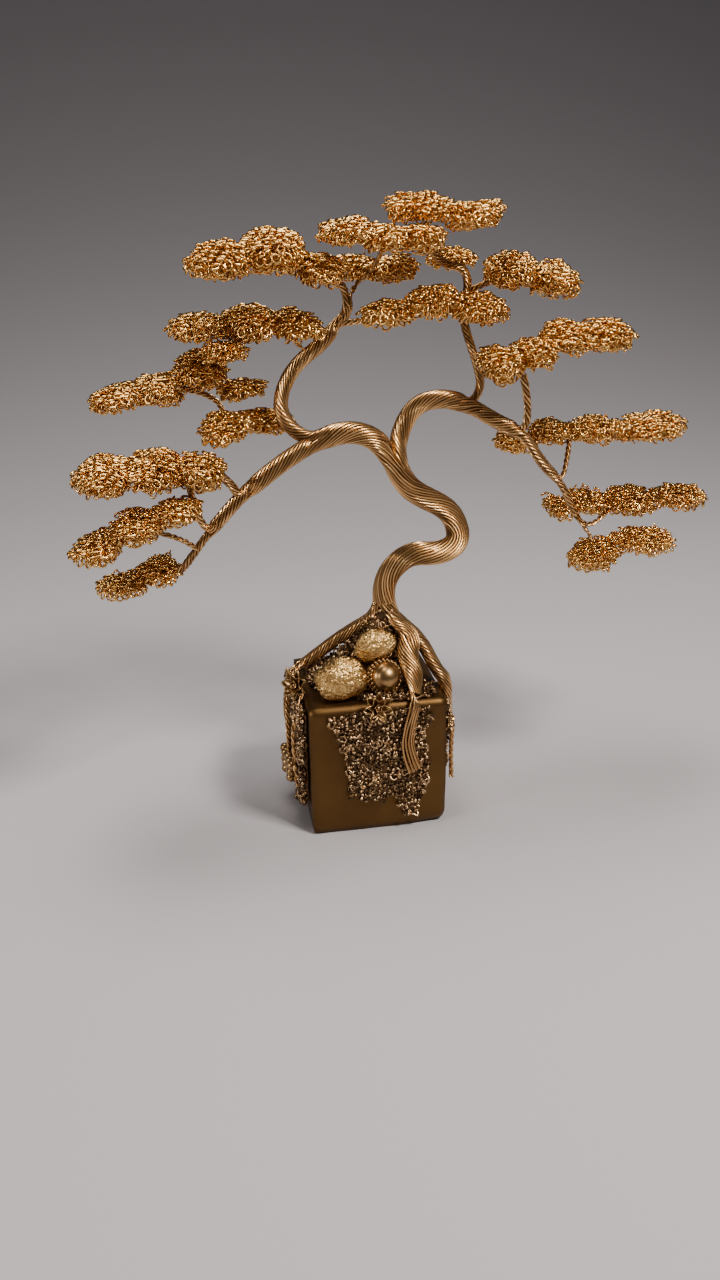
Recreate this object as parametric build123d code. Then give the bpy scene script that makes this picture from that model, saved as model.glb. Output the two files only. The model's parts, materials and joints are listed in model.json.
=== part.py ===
from build123d import *

import math
import os

# A bonsai tree of twisted gold wire, rooted on a painted clay block.
# Millimetres, +Z up. The origin is the centre of the block's underside; X runs along the
# block's front face, and the front looks along -Y. Every place on the tree and among the
# ornaments is written from the centre of the block's top face, with z up from that face.

# --- block ---------------------------------------------------------------
block_side = 60.0
block_edge = 1.6            # rounding of the block's worn edges
grow = 1.0                  # size of the whole crown, as a factor on its routes and pads

# --- wire ----------------------------------------------------------------
wire_diameter = 1.0
wire_share = 0.8            # how much of a bundle's round section is metal
leaf_wall = 0.32            # skin with as much metal as the pad's wire rings

# Wires in each twig. A limb holds the wires of everything that grows from it.
left_drop_wires = 5
left_low_wires = 6
left_outer_wires = 9
left_middle_wires = 7
left_inner_wires = 5
left_crown_wires = 10
left_high_wires = 5
top_left_wires = 5
centre_left_wires = 3
right_drop_wires = 4
right_low_wires = 6
right_middle_wires = 6
right_broad_wires = 10
right_high_wires = 8
centre_wires = 4
crown_wires = 8
small_wires = 4

left_tip_wires = left_drop_wires + left_low_wires
left_end_wires = left_tip_wires + left_outer_wires
left_mid_wires = left_end_wires + left_inner_wires + left_middle_wires
left_rise_wires = left_crown_wires + top_left_wires
left_branch_wires = left_rise_wires + centre_left_wires + left_high_wires
left_limb_wires = left_mid_wires + left_branch_wires
right_tip_wires = right_drop_wires + right_low_wires
right_mid_wires = right_tip_wires + right_middle_wires
right_out_wires = right_mid_wires + right_broad_wires
right_rise_wires = crown_wires + small_wires
right_branch_wires = right_rise_wires + right_high_wires + centre_wires
right_limb_wires = right_out_wires + right_branch_wires
trunk_wires = left_limb_wires + right_limb_wires

# --- roots and ornaments -------------------------------------------------
front_root_wires = 30
right_root_wires = 26
left_root_wires = 24
back_root_wires = 20
face_root_wires = 9         # the thin run of wires that hangs down the front face
root_gap = 0.3              # how far a root stays off the block and what it hangs over
mound_foot = 26.0           # radius of the clay mound where it meets the block
trunk_foot = (9.0, 0.0, 29.0)

moss_thickness = 3.0
left_moss_thickness = 4.5
nugget_size = (12.0, 9.0, 10.0)         # half sizes
small_nugget_size = (9.5, 6.5, 7.5)
ball_radius = 6.6
rim_radius = 7.8            # centre line of the beaded rim round the ball
rim_thickness = 1.2
rose_radius = 4.6
rose_thickness = 3.6
flower_radius = 3.6
flower_thickness = 3.2
grape_radius = 2.3
grape_gap = 0.05

half = block_side / 2


# --- small tools ---------------------------------------------------------
def radius_of(wires):
    """Outer radius of a round bundle of this many wires."""
    return wire_diameter / 2 * math.sqrt(wires / wire_share)


def on_top(x, y, z):
    """A place given from the centre of the block's top face."""
    return Vector(x, y, block_side + z)


def in_crown(x, y, z):
    """A place in the crown, which grows from the trunk's foot."""
    foot = on_top(*trunk_foot)
    return foot + (on_top(x, y, z) - foot) * grow


def bend_radius(before, corner, after):
    """Largest tangent arc at a corner that takes 0.45 of its shorter run."""
    run_in, run_out = corner - before, after - corner
    turn = math.radians(run_in.get_angle(run_out))
    return 0.45 * min(run_in.length, run_out.length) / math.tan(turn / 2)


def tube(points, radius):
    """A round bundle along straight runs joined by tangent arcs."""
    if len(points) == 2:
        path = Line(*points)
    else:
        bends = [bend_radius(*points[i:i + 3]) for i in range(len(points) - 2)]
        path = FilletPolyline(*points, radius=bends)
    section = Plane(origin=path @ 0, z_dir=path % 0) * Circle(radius)
    return sweep(section, path=path)


def overlaps(one, other):
    """Whether two shapes' boxes meet."""
    a, b = one.bounding_box(), other.bounding_box()
    apart = (a.min.X > b.max.X or b.min.X > a.max.X or a.min.Y > b.max.Y
             or b.min.Y > a.max.Y or a.min.Z > b.max.Z or b.min.Z > a.max.Z)
    return not apart


def largest(shape):
    """The largest solid of a shape."""
    return max(shape.solids(), key=lambda solid: solid.volume)


def cut(shape, others):
    """The shape's largest solid, once whatever others meet it are taken away."""
    for other in others:
        if overlaps(shape, other):
            shape = largest(shape - other)
    return shape


def lump(centre, size, tilt=0.0):
    """An ellipsoid with three half sizes, tilted about Y."""
    ball = scale(Sphere(1), by=size)
    return Pos(*centre) * Rot(0, -tilt, 0) * ball


# --- foliage pads --------------------------------------------------------
# Each pad is a row of hollow rounded lobes that just miss each other: centre, half sizes,
# tilt in degrees.
PADS = {
    "pad_left_crown": [
        ((-53, -8, 177), (10, 14, 7), 8),
        ((-33, -4, 180), (9.4, 14, 9.5), 0),
        ((-15, 0, 173), (9, 12, 6.5), -35),
    ],
    "pad_left_high": [
        ((-63, 6, 153), (10, 14, 5), 0),
        ((-43, 6, 153), (9.5, 14, 7.5), 0),
        ((-23.5, 8, 151), (9.5, 13, 5.5), -15),
        ((-54, -2, 143.5), (8, 9, 3), 0),
    ],
    "pad_left_middle": [
        ((-97, 16, 126), (10, 13, 4.5), 20),
        ((-79, 14, 128), (8, 14, 6.6), 0),
        ((-63, 14, 135), (8, 13, 8), 35),
        ((-46, 18, 126), (9, 10, 4), 0),
    ],
    "pad_left_broad": [
        ((-103, -18, 101), (10, 15, 7.5), 12),
        ((-84, -18, 102), (9, 15, 8.4), 5),
        ((-67, -18, 101), (8, 13, 8.2), 0),
        ((-55, -5, 115), (8, 13, 6.5), 20),
        ((-38, 14, 113), (10, 9, 5), -10),
    ],
    "pad_left_low": [
        ((-108, -28, 76), (8.5, 12, 4.5), 25),
        ((-92.5, -28, 83), (8, 12, 6), 20),
        ((-77.5, -26, 88), (7.5, 10, 4.5), 15),
    ],
    "pad_left_drop": [
        ((-101, -4, 53), (8.8, 11, 3.8), 5),
        ((-85, -2, 58), (7.2, 10, 4.8), 10),
    ],
    "pad_top_left": [
        ((-5, -8, 187), (9, 12, 4.5), 8),
        ((9.5, -8, 183), (6.3, 12, 5), 0),
        ((23.5, -8, 183), (7.3, 11, 5.3), -8),
    ],
    "pad_top_back": [
        ((3, 18, 172), (6.5, 10, 5.2), 0),
        ((18, 18, 171), (8.3, 12, 5.3), 0),
        ((46, 33, 174), (9, 9, 4.2), 0),
    ],
    "pad_crown": [
        ((26, 5, 194), (10.8, 13, 5.8), -5),
        ((47, 5, 191), (10, 12, 5.9), 5),
    ],
    "pad_centre": [
        ((12, 4, 155), (9.7, 11, 4.7), 15),
        ((30.5, 4, 159), (8.6, 13, 5.9), 5),
        ((49, 2, 156), (9.4, 13, 6.3), -5),
    ],
    "pad_right_high": [
        ((66, 14, 168), (8.5, 14, 8.6), 0),
        ((84, 14, 165), (9, 14, 7.4), -12),
    ],
    "pad_right_broad": [
        ((55, -10, 135), (7, 12, 8), 10),
        ((69, -9, 138), (6.8, 13, 7), 20),
        ((84, -7, 144), (8.3, 13, 7), 10),
        ((101, -6, 144), (8.3, 13, 6.8), 3),
    ],
    "pad_right_middle": [
        ((71, 16, 98), (7, 9, 3.2), 0),
        ((86, 15, 102), (7.2, 11, 5), 0),
        ((106, 14, 102), (12.3, 12, 4.5), 5),
        ((132, 14, 102), (13, 12, 5.4), 3),
    ],
    "pad_right_low": [
        ((91, 12, 69), (6, 9, 4), 0),
        ((105, 12, 71), (7.6, 11, 3.8), 0),
        ((123, 9, 70), (10, 13, 5.5), 3),
        ((145, 8, 71), (11.5, 11, 4.5), -5),
    ],
    "pad_right_drop": [
        ((99, -10, 53), (9.6, 11, 5), 20),
        ((121, -10, 57), (12.2, 11, 4.2), -8),
    ],
}


def lobe(centre, size, tilt, wall):
    """The outside of one lobe of a pad, drawn in by a wall."""
    return lump(in_crown(*centre), tuple(grow * half_size - wall for half_size in size), tilt)


# --- bundles -------------------------------------------------------------
left_fork = (-20, -3, 107)
left_bend = (-52, -12, 88)
left_elbow = (-65, -14, 75)
left_end = (-74, -12, 63)
branch_fork = (-7, 8, 152)
branch_end = (-3, 7, 161)
right_fork = (47, 4, 117)
right_knee = (69, -2, 105)
right_elbow = (85, -5, 84)
right_end = (96, -3, 64)
back_turn = (46, 13, 149)
back_end = (50, 21, 163)
trunk_fork = (14, 0, 96)

# Each bundle: its wires and the corners of its route, from where it leaves its parent.
BUNDLES = {
    "trunk": (trunk_wires, [
        trunk_foot, (8, -1, 45), (17, -8, 59), (32, -8, 57), (42, -2, 61), (39, 4, 73),
        (22, 2, 82), (16, 0, 90), trunk_fork]),
    "left_limb": (left_limb_wires, [
        trunk_fork, (6, -1, 107), (-6, -2, 111), left_fork]),
    "left_limb_middle": (left_mid_wires, [left_fork, (-36, -8, 99), left_bend]),
    "left_limb_end": (left_end_wires, [left_bend, (-59, -14, 81), left_elbow]),
    "left_limb_tip": (left_tip_wires, [left_elbow, (-70, -14, 69), left_end]),
    "left_branch": (left_branch_wires, [
        left_fork, (-30, 0, 113), (-33, 3, 123), (-26, 6, 136), (-14, 7, 144), branch_fork]),
    "left_branch_tip": (left_rise_wires, [branch_fork, (-3, 8, 156), branch_end]),
    "right_limb": (right_limb_wires, [
        trunk_fork, (17, 5, 108), (24, 5, 119), (36, 4, 121), right_fork]),
    "right_limb_outer": (right_out_wires, [right_fork, (58, 2, 110), right_knee]),
    "right_limb_end": (right_mid_wires, [right_knee, (76, -4, 93), right_elbow]),
    "right_limb_tip": (right_tip_wires, [right_elbow, (90, -4, 74), right_end]),
    "right_branch": (right_branch_wires, [
        right_fork, (53, 7, 124), (50, 9, 136), back_turn]),
    "right_branch_tip": (right_rise_wires, [back_turn, (48, 19, 155), back_end]),
    "twig_left_crown": (left_crown_wires, [branch_end, (-6, 3, 168), (-12, 1, 171)]),
    "twig_top_left": (top_left_wires, [branch_end, (3, 14, 168), (9, 4, 174), (10, -5, 182)]),
    "twig_centre": (centre_left_wires, [branch_fork, (1, 6, 152), (8, 4, 154)]),
    "twig_left_high": (left_high_wires, [(-20, 6, 140), (-24, 6, 147), (-34, 6, 151)]),
    "twig_left_middle": (left_middle_wires, [
        (-57, -8, 114), (-54, 6, 120), (-60, 12, 126), (-70, 14, 128)]),
    "twig_left_inner": (left_inner_wires, [left_bend, (-54, -14, 94), (-60, -16, 100)]),
    "twig_left_outer": (left_outer_wires, [left_elbow, (-70, -17, 86), (-71, -18, 96)]),
    "twig_left_low": (left_low_wires, [(-70, -14, 69), (-77, -20, 77), (-88, -26, 81)]),
    "twig_left_drop": (left_drop_wires, [left_end, (-78, -9, 58), (-84, -4, 57)]),
    "twig_crown": (crown_wires, [
        back_end, (49, 22, 170), (40, 20, 172), (33, 16, 177), (29, 9, 188)]),
    "twig_small": (small_wires, [(50, 21, 166), (47, 28, 173)]),
    "twig_right_high": (right_high_wires, [(50, 21, 161), (58, 18, 165), (64, 16, 167)]),
    "twig_right_broad": (right_broad_wires, [right_knee, (70, -4, 117), (66, -7, 130)]),
    "twig_right_middle": (right_middle_wires, [right_elbow, (90, 3, 92), (94, 12, 101)]),
    "twig_right_low": (right_low_wires, [right_end, (105, 2, 63), (113, 8, 68)]),
    "twig_right_drop": (right_drop_wires, [right_end, (99, -7, 60), (100, -9, 55)]),
}


def roots():
    """Wire bundles that run from the trunk's foot down the mound and over the edges."""
    foot_x, foot_y, foot_z = trunk_foot
    front_radius = radius_of(front_root_wires)
    face_radius = radius_of(face_root_wires)
    right_radius = radius_of(right_root_wires)
    back_radius = radius_of(back_root_wires)
    left_radius = radius_of(left_root_wires)
    front_y = -(half + face_radius + root_gap)
    right_x = half + right_radius + root_gap
    back_y = half + back_radius + root_gap
    front_end = on_top(16, -half + 2, front_radius + root_gap)
    starts = {
        "front": on_top(foot_x + 1, foot_y - 1, foot_z - 1),
        "right": on_top(foot_x + 2, foot_y, foot_z - 2),
        "left": on_top(foot_x - 2, foot_y + 1, foot_z - 1),
        "back": on_top(foot_x, foot_y + 2, foot_z - 2),
    }
    routes = {
        "root_front": (front_radius, [
            starts["front"], on_top(20, -7, 23), on_top(15, -15, 15), on_top(17, -23, 8),
            front_end]),
        "root_front_face": (face_radius, [
            front_end, on_top(15.5, front_y, 1), on_top(12, front_y, -11),
            on_top(11, front_y, -21), on_top(15, front_y, -31)]),
        "root_right": (right_radius, [
            starts["right"], on_top(24, -4, 18), on_top(29, -12, right_radius + 3),
            on_top(right_x, -15, 2), on_top(right_x, -13, -12), on_top(right_x, -15, -24)]),
        "root_left": (left_radius, [
            starts["left"], on_top(-6, 4, 22), on_top(-15, 10, 13),
            on_top(-26, 14, left_radius + root_gap)]),
        "root_back": (back_radius, [
            starts["back"], on_top(13, 14, 20), on_top(14, 24, back_radius + 3),
            on_top(15, back_y, 1), on_top(13, back_y, -14)]),
    }
    return {name: tube(points, radius) for name, (radius, points) in routes.items()}


# --- block and ornaments -------------------------------------------------
def block():
    """The painted clay cube."""
    cube = Box(block_side, block_side, block_side, align=(Align.CENTER, Align.CENTER, Align.MIN))
    return fillet(cube.edges(), block_edge)


def mound():
    """The clay heap that carries the trunk: a leaning cone from block to trunk."""
    foot = Plane(origin=on_top(-1, 1, 0)) * Circle(mound_foot)
    neck = Plane(origin=on_top(*trunk_foot)) * Circle(radius_of(trunk_wires))
    return loft([foot, neck])


def ball():
    """The round bead, half sunk between the nugget and the roots."""
    return Pos(*on_top(4.5, -21.5, ball_radius + 2.2)) * Sphere(ball_radius)


def rim():
    """The beaded rim that the ball bead sits in."""
    facing = Plane(origin=on_top(4.5, -21.5, ball_radius + 2.2), z_dir=(0.15, -0.9, 0.4))
    return facing * Torus(rim_radius, rim_thickness)


def disc_on(origin, direction, radius, thickness):
    """A low round button with a domed edge, its back on a face."""
    button = Cylinder(radius, thickness, align=(Align.CENTER, Align.CENTER, Align.MIN))
    button = fillet(button.edges().group_by(Axis.Z)[-1], thickness / 3)
    return Plane(origin=origin, z_dir=direction) * button


def roses():
    """The roses on the front and left top edges, and a small flower on the right."""
    return [
        disc_on(on_top(-1, -half, -1), (0, -1, 0), rose_radius, rose_thickness),
        disc_on(on_top(-half, -6, 1), (-1, 0, 0), rose_radius, rose_thickness),
        disc_on(on_top(half, -24, -14), (1, 0, 0), flower_radius, flower_thickness),
    ]


def moss_front():
    """Granules stuck on the front face."""
    low = -block_side
    outline = [
        (-22, -5), (-12, -2), (22, -2), (20, -16), (21, -30), (19, low + 17),
        (15, low + 6), (10, low + 7), (6, low + 17), (-4, low + 14), (-13, low + 19), (-15, -22)]
    face = Plane(origin=on_top(0, -half, 0), x_dir=(1, 0, 0), z_dir=(0, -1, 0))
    return extrude(face * make_face(Polyline(*outline, close=True)), moss_thickness)


def moss_left():
    """Granules and woven wire stuck on the left face."""
    low = -block_side
    outline = [(27, -3), (-25, -3), (-26, -34), (-14, low + 10), (6, low + 6), (22, low + 12)]
    face = Plane(origin=on_top(-half, 0, 0), x_dir=(0, -1, 0), z_dir=(-1, 0, 0))
    return extrude(face * make_face(Polyline(*outline, close=True)), left_moss_thickness)


def moss_right():
    """A smaller patch of granules on the right face."""
    outline = [(-24, -4), (-4, -3), (-2, -26), (-10, -40), (-22, -36)]
    face = Plane(origin=on_top(half, 0, 0), x_dir=(0, 1, 0), z_dir=(1, 0, 0))
    return extrude(face * make_face(Polyline(*outline, close=True)), moss_thickness)


def grapes():
    """Clusters of beads on the left face's moss, each one row wider than the next."""
    step = 2 * grape_radius + grape_gap
    beads = []
    for corner_y, corner_z in ((-16, -32), (4, -38)):
        for row in range(3):
            for place in range(3 - row):
                y = corner_y + (place + row / 2) * step
                z = corner_z - row * step * math.sqrt(3) / 2
                x = -(half + left_moss_thickness + grape_radius)
                beads.append(Pos(*on_top(x, y, z)) * Sphere(grape_radius))
    return beads


# --- assembly ------------------------------------------------------------
def build():
    """Every node of the object, by name."""
    nodes = {"clay_block": [block()]}
    foliage = []
    for name, lobes in PADS.items():
        skins = [lobe(*shape, 0.0) for shape in lobes]
        nodes[name] = [skin - lobe(*shape, leaf_wall) for skin, shape in zip(skins, lobes)]
        foliage += skins

    solids = [nodes["clay_block"][0]]
    tubes = []
    for name, (wires, corners) in BUNDLES.items():
        route = [in_crown(*corner) for corner in corners]
        piece = cut(tube(route, radius_of(wires)), tubes + foliage)
        nodes[name] = [piece]
        tubes.append(piece)
    far_twig = tube([in_crown(*back_turn), in_crown(48, 7, 152)], radius_of(centre_wires))
    nodes["twig_centre"].append(cut(far_twig, tubes + foliage))
    for name, shape in roots().items():
        piece = cut(shape, solids + tubes)
        nodes[name] = [piece]
        tubes.append(piece)

    nodes["roses"] = [cut(flower, solids + tubes) for flower in roses()]
    solids += nodes["roses"]

    ornaments = {
        "mound": mound(),
        "ball_bead": ball(),
        "bead_rim": rim(),
        "gold_nugget": lump(on_top(-14, -19, 8.5), nugget_size, 12),
        "small_nugget": lump(on_top(2, -12, 19.5), small_nugget_size, 15),
        "moss_front": moss_front(),
        "moss_left": moss_left(),
        "moss_right": moss_right(),
    }
    for name, shape in ornaments.items():
        piece = cut(shape, solids + tubes)
        nodes[name] = [piece]
        solids.append(piece)
    nodes["bead_clusters"] = grapes()
    return nodes


os.makedirs("parts", exist_ok=True)
for node_name, pieces in build().items():
    shape = pieces[0] if len(pieces) == 1 else Compound(children=pieces)
    shape.label = node_name
    export_step(shape, f"parts/{node_name}.step")
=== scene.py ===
import json
import logging
import math
import random
from contextlib import contextmanager
from dataclasses import dataclass, field
from enum import Enum
from typing import Callable, Iterator

import bpy
import numpy as np
from mathutils import Euler, Matrix, Vector, noise

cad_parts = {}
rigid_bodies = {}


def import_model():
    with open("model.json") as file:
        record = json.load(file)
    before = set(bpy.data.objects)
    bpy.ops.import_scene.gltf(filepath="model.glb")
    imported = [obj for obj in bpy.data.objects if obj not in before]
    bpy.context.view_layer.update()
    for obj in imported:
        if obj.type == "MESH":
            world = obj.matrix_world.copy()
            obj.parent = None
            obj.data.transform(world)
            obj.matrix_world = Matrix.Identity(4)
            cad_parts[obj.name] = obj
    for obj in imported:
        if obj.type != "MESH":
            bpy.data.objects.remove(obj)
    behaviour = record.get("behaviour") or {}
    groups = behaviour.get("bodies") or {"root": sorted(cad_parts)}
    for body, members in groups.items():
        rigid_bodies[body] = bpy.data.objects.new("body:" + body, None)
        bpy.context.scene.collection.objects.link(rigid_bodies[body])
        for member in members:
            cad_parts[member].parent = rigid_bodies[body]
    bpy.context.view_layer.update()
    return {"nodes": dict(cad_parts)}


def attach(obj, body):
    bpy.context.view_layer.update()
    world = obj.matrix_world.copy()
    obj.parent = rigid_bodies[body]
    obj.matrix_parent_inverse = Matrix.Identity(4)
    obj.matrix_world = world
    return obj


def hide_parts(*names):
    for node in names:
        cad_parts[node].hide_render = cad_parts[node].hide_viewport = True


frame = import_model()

MM = 0.001
BODY = "root"
FULL_TURN = 6.3             # top of the range that angles are drawn from, in radians
LOG = logging.getLogger("wire_tree")


# --- small tools ----------------------------------------------------------------------------
def deselect() -> None:
    """Leaves edit mode and deselects every object."""
    if bpy.context.object and bpy.context.object.mode != "OBJECT":
        bpy.ops.object.mode_set(mode="OBJECT")
    bpy.ops.object.select_all(action="DESELECT")


def activate(piece: bpy.types.Object) -> None:
    """Makes a piece the only selected and the active object."""
    deselect()
    piece.select_set(True)
    bpy.context.view_layer.objects.active = piece


def settle(piece: bpy.types.Object) -> None:
    """Moves a piece's place into its mesh, so that its object sits at the origin."""
    activate(piece)
    bpy.ops.object.transform_apply(location=True, rotation=True, scale=True)


def apply_modifiers(piece: bpy.types.Object) -> None:
    """Applies every modifier of a piece, in order."""
    activate(piece)
    for modifier in list(piece.modifiers):
        bpy.ops.object.modifier_apply(modifier=modifier.name)


def primitive(kind: str, **sizes: object) -> bpy.types.Object:
    """Adds one of Blender's own shapes, such as a torus, and returns it."""
    deselect()
    getattr(bpy.ops.mesh, f"primitive_{kind}_add")(**sizes)
    return bpy.context.object


@contextmanager
def edit_mode(piece: bpy.types.Object) -> Iterator[None]:
    """Edit mode on the whole of a piece, for as long as the block lasts."""
    activate(piece)
    bpy.ops.object.mode_set(mode="EDIT")
    bpy.ops.mesh.select_all(action="SELECT")
    yield
    bpy.ops.object.mode_set(mode="OBJECT")


def recalculate(piece: bpy.types.Object) -> None:
    """Turns a closed piece's faces outwards."""
    with edit_mode(piece):
        bpy.ops.mesh.normals_make_consistent(inside=False)


def any_turn(dice: random.Random) -> Matrix:
    """A rotation drawn at random."""
    return Euler([dice.uniform(0, FULL_TURN) for _ in range(3)]).to_matrix().to_4x4()


def spot_on(piece: bpy.types.Object, face: bpy.types.MeshPolygon, dice: random.Random) -> Vector:
    """A place on a face of a piece, drawn at random."""
    corners = [piece.data.vertices[v].co for v in face.vertices]
    shares = [dice.random() for _ in corners]
    return sum((c * s for c, s in zip(corners, shares)), Vector()) / sum(shares)


def finish_piece(piece: bpy.types.Object, name: str, finish: "Finish",
                 nodes: list[str]) -> None:
    """Names and dresses a finished piece and puts it in the place of its CAD nodes.

    Args:
        piece: The modelled piece.
        name: Its name.
        finish: What it is finished in.
        nodes: The CAD nodes that it stands for.
    """
    settle(piece)
    piece.name = name
    piece.data.name = name
    bpy.ops.object.shade_smooth()
    if not piece.data.materials:
        piece.data.materials.append(finish.material())
    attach(piece, BODY)
    if nodes:
        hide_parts(*nodes)
    LOG.info("%s: %d faces, stands for %s", name, len(piece.data.polygons), nodes or "nothing")


def copies(pattern: bpy.types.Object, places: list[Matrix], name: str) -> bpy.types.Object:
    """Repeats a small shape at many places as one mesh, and removes the pattern.

    Args:
        pattern: The shape, modelled once about the origin.
        places: Where each copy goes.
        name: The new object's name.

    Returns:
        The object that holds all the copies.
    """
    settle(pattern)
    source = pattern.data
    corners = np.empty(len(source.vertices) * 3)
    source.vertices.foreach_get("co", corners)
    corners = np.c_[corners.reshape(-1, 3), np.ones(len(source.vertices))]
    faces = [tuple(polygon.vertices) for polygon in source.polygons]
    stacked = np.array([[list(row) for row in place] for place in places])
    moved = np.einsum("nij,kj->nki", stacked, corners)[:, :, :3].reshape(-1, 3)
    count = len(source.vertices)
    all_faces = [tuple(corner + count * i for corner in face)
                 for i in range(len(places)) for face in faces]
    mesh = bpy.data.meshes.new(name)
    mesh.from_pydata(moved.tolist(), [], all_faces)
    result = bpy.data.objects.new(name, mesh)
    bpy.context.scene.collection.objects.link(result)
    bpy.data.objects.remove(pattern)
    return result


def give_tone_and_painted_light(piece: bpy.types.Object, counts: list[int], dice: random.Random,
              painted_light_lift: list[float] | None = None) -> None:
    """Gives each wire or copy of a piece its own random value for its finish to read, and, when
    asked, painted light on the first copies and painted shade on the rest.

    Args:
        piece: The piece.
        counts: How many vertices each wire or copy has, in their order in the mesh.
        dice: Where the tones are drawn from.
        painted_light_lift: What is added to the first tones as painted light, on a pad's outer
            loops; the rest are lowered, as painted shade.
    """
    tones = [dice.random() for _ in counts]
    # Painted light and shade: the first copies, a pad's outer loops, are made lighter and the rest
    # darker.
    if painted_light_lift:
        tones = [0.65 * tone + lift for tone, lift in zip(tones, painted_light_lift)] \
            + [0.5 * tone for tone in tones[len(painted_light_lift):]]
    tones = np.repeat(tones, counts)
    tones = np.pad(tones, (0, len(piece.data.vertices) - len(tones)), mode="edge")
    tone = piece.data.attributes.new("tone", "FLOAT", "POINT")
    tone.data.foreach_set("value", tones)


def join(pieces: list[bpy.types.Object]) -> bpy.types.Object:
    """Joins pieces into the first of them."""
    activate(pieces[0])
    for piece in pieces[1:]:
        piece.select_set(True)
    if len(pieces) > 1:
        bpy.ops.object.join()
    return pieces[0]


def turned_to(direction: Vector, spin: float = 0.0) -> Matrix:
    """A rotation that takes +Z to a direction, after a spin about Z."""
    return direction.to_track_quat("Z", "Y").to_matrix().to_4x4() @ Matrix.Rotation(spin, 4, "Z")


def smoothstep(value: float) -> float:
    """0 below 0, 1 above 1, and a soft step between."""
    value = min(max(value, 0.0), 1.0)
    return value * value * (3 - 2 * value)


# --- finishes -------------------------------------------------------------------------------
@dataclass(frozen=True)
class Finish:
    """A painted, gilded or bare metal finish with a soft mottled colour.

    Attributes:
        name: The material's name.
        slot: The record's material slot; not used.
        light: Colour of the high, rubbed places.
        dark: Colour of the toned places.
        metallic: 1 for metal.
        roughness: Roughness of the rubbed places.
        rough_dark: Roughness of the toned places.
        spots_per_metre: How fine the mottling is.
        grain_per_metre: How fine the bump is.
        grain: Strength of the bump.
        contrast: Width of the step from dark to light, small for sharp patches.
        toned: How much of the mottling is each wire's own random value, which on a pad's loops also
            carries painted light and shade.
    """

    name: str
    slot: str
    light: tuple[float, float, float]
    dark: tuple[float, float, float]
    metallic: float = 1.0
    roughness: float = 0.25
    rough_dark: float = 0.35
    spots_per_metre: float = 120.0
    grain_per_metre: float = 900.0
    grain: float = 0.0
    contrast: float = 0.5
    toned: float = 0.0

    def material(self) -> bpy.types.Material:
        """Builds the material once and returns it."""
        made = bpy.data.materials.get(self.name)
        if made:
            return made
        made = bpy.data.materials.new(self.name)
        made.use_nodes = True
        tree = made.node_tree
        add, link = tree.nodes.new, tree.links.new
        shader = tree.nodes["Principled BSDF"]
        shader.inputs["Metallic"].default_value = self.metallic
        place = add("ShaderNodeTexCoord")
        mottle = add("ShaderNodeTexNoise")
        mottle.inputs["Scale"].default_value = self.spots_per_metre
        mottle.inputs["Detail"].default_value = 4.0
        link(place.outputs["Object"], mottle.inputs["Vector"])
        shade = mottle.outputs["Fac"]
        if self.toned:
            tone = add("ShaderNodeAttribute")
            tone.attribute_name = "tone"
            both = add("ShaderNodeMix")
            both.inputs[0].default_value = self.toned
            link(shade, both.inputs[2])
            link(tone.outputs["Fac"], both.inputs[3])
            shade = both.outputs[0]
        ramp = add("ShaderNodeValToRGB")
        low, high = 0.5 - self.contrast / 2, 0.5 + self.contrast / 2
        for stop, place_on, colour in zip(ramp.color_ramp.elements, (low, high),
                                          (self.dark, self.light)):
            stop.position = place_on
            stop.color = (*colour, 1.0)
        link(shade, ramp.inputs["Fac"])
        link(ramp.outputs["Color"], shader.inputs["Base Color"])
        gloss = add("ShaderNodeMapRange")
        for end, value in (("From Min", low), ("From Max", high),
                           ("To Min", self.rough_dark), ("To Max", self.roughness)):
            gloss.inputs[end].default_value = value
        link(shade, gloss.inputs["Value"])
        link(gloss.outputs["Result"], shader.inputs["Roughness"])
        if self.grain:
            self._add_grain(tree, place, shader)
        return made

    def _add_grain(self, tree: bpy.types.NodeTree, place: bpy.types.Node,
                   shader: bpy.types.Node) -> None:
        """Adds the fine bump.

        Args:
            tree: The material's nodes.
            place: The texture coordinates.
            shader: The surface shader.
        """
        add, link = tree.nodes.new, tree.links.new
        grain = add("ShaderNodeTexNoise")
        grain.inputs["Scale"].default_value = self.grain_per_metre
        grain.inputs["Detail"].default_value = 3.0
        link(place.outputs["Object"], grain.inputs["Vector"])
        bump = add("ShaderNodeBump")
        bump.inputs["Strength"].default_value = self.grain
        bump.inputs["Distance"].default_value = 0.3 * MM
        link(grain.outputs["Fac"], bump.inputs["Height"])
        link(bump.outputs["Normal"], shader.inputs["Normal"])


BUNDLE_GOLD = Finish("bundle_gold", "gold_wire", (0.92, 0.58, 0.25), (0.24, 0.11, 0.035),
                     roughness=0.2, rough_dark=0.36, spots_per_metre=60.0, contrast=0.9,
                     toned=0.7)
# The loops' tones carry painted light and shade: this ramp paints the outer loops lighter and the
# deeper ones darker.
RING_GOLD = Finish("ring_gold", "leaf_wire", (0.95, 0.60, 0.20), (0.62, 0.30, 0.07),
                   roughness=0.15, rough_dark=0.26, spots_per_metre=90.0, contrast=0.8,
                   toned=0.6)
LEAF_GILT = Finish("leaf_gilt", "nugget", (0.93, 0.61, 0.24), (0.34, 0.18, 0.05),
                   roughness=0.22, rough_dark=0.42, spots_per_metre=260.0, grain=0.8,
                   grain_per_metre=1500.0)
BLOCK_PAINT = Finish("block_paint_satin", "block_paint", (0.150, 0.078, 0.022),
                     (0.085, 0.040, 0.012), metallic=0.9, roughness=0.38, rough_dark=0.48,
                     spots_per_metre=25.0, grain=0.15, grain_per_metre=2500.0)
BEAD_GOLD = Finish("bead_gold", "bead", (0.46, 0.28, 0.12), (0.26, 0.15, 0.06),
                   roughness=0.26, rough_dark=0.40, spots_per_metre=250.0)
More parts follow.
